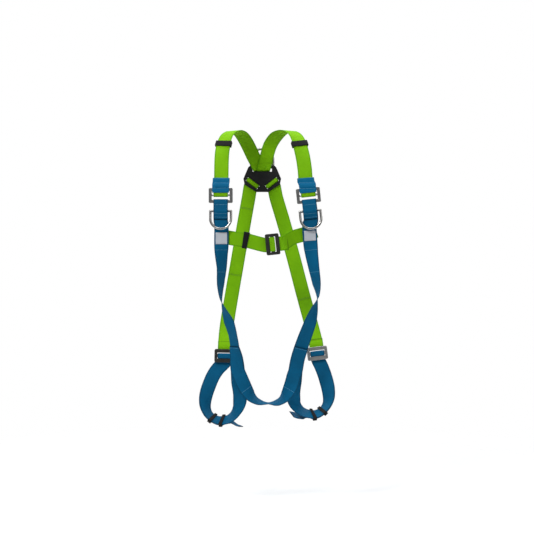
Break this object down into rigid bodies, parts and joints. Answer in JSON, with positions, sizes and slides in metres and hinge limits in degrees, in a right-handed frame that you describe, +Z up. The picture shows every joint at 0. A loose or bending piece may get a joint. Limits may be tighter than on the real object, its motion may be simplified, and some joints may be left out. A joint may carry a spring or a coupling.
{
  "type": "safety harness",
  "caption": "Full body safety harness in its worn shape: crossed shoulder straps, dorsal plate and ring, chest strap, chest rings, sit strap and leg loops.",
  "frame": {"origin": "middle of the dorsal ring's eye, which the harness hangs from", "axes": "+Z up, +Y towards the wearer's back, +X towards the wearer's left"},
  "size_m": [0.4378, 0.243, 0.9492],
  "materials": {
    "lime_webbing": "woven polyester webbing",
    "blue_webbing": "woven polyester webbing",
    "black_plastic": "moulded, fine texture",
    "black_elastic": "woven elastic",
    "bright_steel": "polished forged steel",
    "satin_steel": "satin plated steel",
    "dark_steel": "dark grey coated steel",
    "label_cloth": "blank white label cloth"
  },
  "bodies": {
    "harness": {"chest_buckle_frame": "dark_steel", "chest_buckle_plate": "dark_steel", "dorsal_plate": "black_plastic", "left_adjuster_frame": "satin_steel", "left_adjuster_sleeve": "blue_webbing", "left_chest_strap": "lime_webbing", "left_front_strap": "blue_webbing", "left_label": "label_cloth", "left_leg_buckle_frame": "satin_steel", "left_leg_buckle_plate": "satin_steel", "left_shoulder_strap": "lime_webbing", "right_adjuster_frame": "satin_steel", "right_adjuster_sleeve": "blue_webbing", "right_chest_strap": "lime_webbing", "right_front_strap": "blue_webbing", "right_label": "label_cloth", "right_leg_buckle_frame": "dark_steel", "right_leg_buckle_plate": "dark_steel", "right_shoulder_strap": "lime_webbing", "sit_strap": "blue_webbing"},
    "dorsal_ring": {"dorsal_ring": "bright_steel"},
    "right_chest_ring": {"right_chest_ring": "bright_steel"},
    "right_adjuster_bar": {"right_adjuster_bar": "satin_steel"},
    "left_chest_ring": {"left_chest_ring": "bright_steel"},
    "left_adjuster_bar": {"left_adjuster_bar": "satin_steel"},
    "right_shoulder_keeper": {"right_shoulder_keeper": "black_elastic"},
    "right_lower_leg_keeper": {"right_lower_leg_keeper": "black_elastic"},
    "right_upper_leg_keeper": {"right_upper_leg_keeper": "black_elastic"},
    "left_shoulder_keeper": {"left_shoulder_keeper": "black_elastic"},
    "left_lower_leg_keeper": {"left_lower_leg_keeper": "black_elastic"},
    "left_upper_leg_keeper": {"left_upper_leg_keeper": "black_elastic"},
    "chest_keeper": {"chest_keeper": "black_elastic"}
  },
  "joints": [
    {"name": "dorsal_ring_swing", "type": "hinge", "parent": "harness", "child": "dorsal_ring", "pos_m": [0, 0, -0.048], "axis": [-1, 0, 0], "range_deg": [0, 90]},
    {"name": "right_chest_ring_swing", "type": "hinge", "parent": "harness", "child": "right_chest_ring", "pos_m": [-0.129, -0.2088, -0.1795], "axis": [-1, 0, 0], "range_deg": [0, 140]},
    {"name": "right_adjuster_bar_slide", "type": "slide", "parent": "harness", "child": "right_adjuster_bar", "axis": [0, 0, 1], "range_m": [0, 0.006]},
    {"name": "left_chest_ring_swing", "type": "hinge", "parent": "harness", "child": "left_chest_ring", "pos_m": [0.15007, -0.2088, -0.17923], "axis": [-0.9945, 0, -0.1045], "range_deg": [0, 140]},
    {"name": "left_adjuster_bar_slide", "type": "slide", "parent": "harness", "child": "left_adjuster_bar", "axis": [-0.1045, 0, 0.9945], "range_m": [0, 0.006]},
    {"name": "right_shoulder_keeper_slide", "type": "slide", "parent": "harness", "child": "right_shoulder_keeper", "axis": [0.2013, 0.5119, 0.8351], "range_m": [-0.003, 0.003]},
    {"name": "right_lower_leg_keeper_slide", "type": "slide", "parent": "harness", "child": "right_lower_leg_keeper", "axis": [-0.9501, 0.3048, -0.0661], "range_m": [-0.001, 0.001]},
    {"name": "right_upper_leg_keeper_slide", "type": "slide", "parent": "harness", "child": "right_upper_leg_keeper", "axis": [-0.8118, 0.1554, 0.5628], "range_m": [-0.001, 0.001]},
    {"name": "left_shoulder_keeper_slide", "type": "slide", "parent": "harness", "child": "left_shoulder_keeper", "axis": [-0.2588, 0.5047, 0.8236], "range_m": [-0.003, 0.003]},
    {"name": "left_lower_leg_keeper_slide", "type": "slide", "parent": "harness", "child": "left_lower_leg_keeper", "axis": [0.9521, 0.3057, 0.0014], "range_m": [-0.001, 0.001]},
    {"name": "left_upper_leg_keeper_slide", "type": "slide", "parent": "harness", "child": "left_upper_leg_keeper", "axis": [0.7444, 0.1564, 0.6491], "range_m": [-0.001, 0.001]},
    {"name": "chest_keeper_slide", "type": "slide", "parent": "harness", "child": "chest_keeper", "axis": [0.9667, -0.1707, -0.1907], "range_m": [-0.005, 0.005]}
  ]
}
